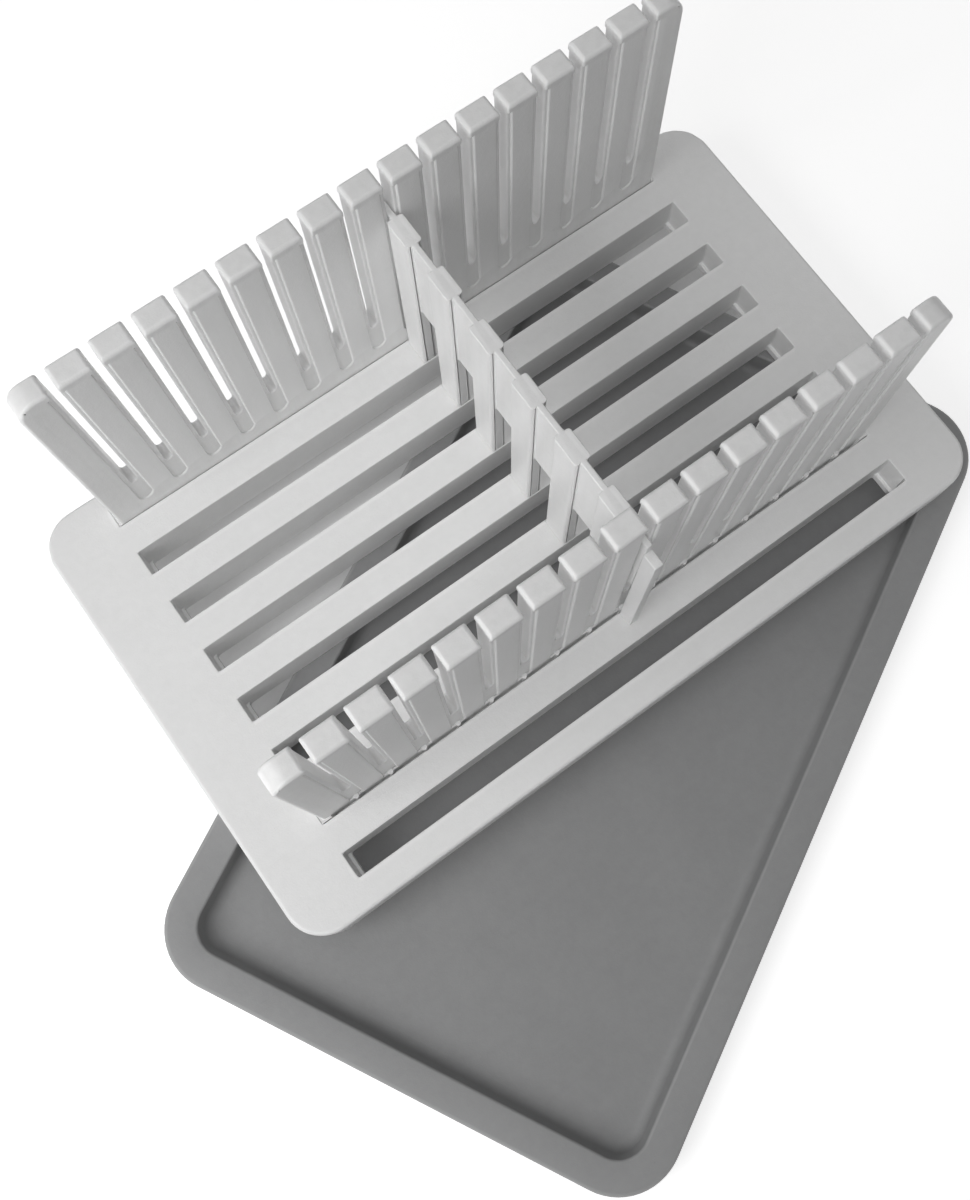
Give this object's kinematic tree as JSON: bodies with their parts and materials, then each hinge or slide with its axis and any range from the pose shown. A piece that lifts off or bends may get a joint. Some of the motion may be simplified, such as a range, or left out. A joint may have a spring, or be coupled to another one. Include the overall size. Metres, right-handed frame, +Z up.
{
  "type": "bread slicer guide",
  "caption": "Countertop slicing guide: toothed guide walls with knife slits, joined by a comb divider, plugged into a slotted board that lies across a shallow rimmed crumb tray.",
  "frame": {"origin": "centre of the tray's underside, on the surface it stands on", "axes": "+X along the guide walls, +Y across them from the near wall to the far wall, +Z up"},
  "size_m": [0.373, 0.3259, 0.1323],
  "materials": {
    "grey_plastic": "fine matte moulded grain",
    "board_plastic": "satin",
    "wall_plastic": "satin"
  },
  "bodies": {
    "tray_body": {"tray": "grey_plastic"},
    "board_body": {"board": "board_plastic"},
    "near_wall_body": {"near_wall": "wall_plastic"},
    "far_wall_body": {"far_wall": "wall_plastic"},
    "divider_body": {"divider": "wall_plastic"}
  },
  "joints": [
    {"name": "board_lift", "type": "slide", "parent": "tray_body", "child": "board_body", "axis": [0, 0, 1], "range_m": [0, 0.06]},
    {"name": "near_wall_lift", "type": "slide", "parent": "board_body", "child": "near_wall_body", "axis": [0, 0, 1], "range_m": [0, 0.016]},
    {"name": "far_wall_lift", "type": "slide", "parent": "board_body", "child": "far_wall_body", "axis": [0, 0, 1], "range_m": [0, 0.016]},
    {"name": "divider_lift", "type": "slide", "parent": "board_body", "child": "divider_body", "axis": [0, 0, 1], "range_m": [0, 0.11]}
  ]
}
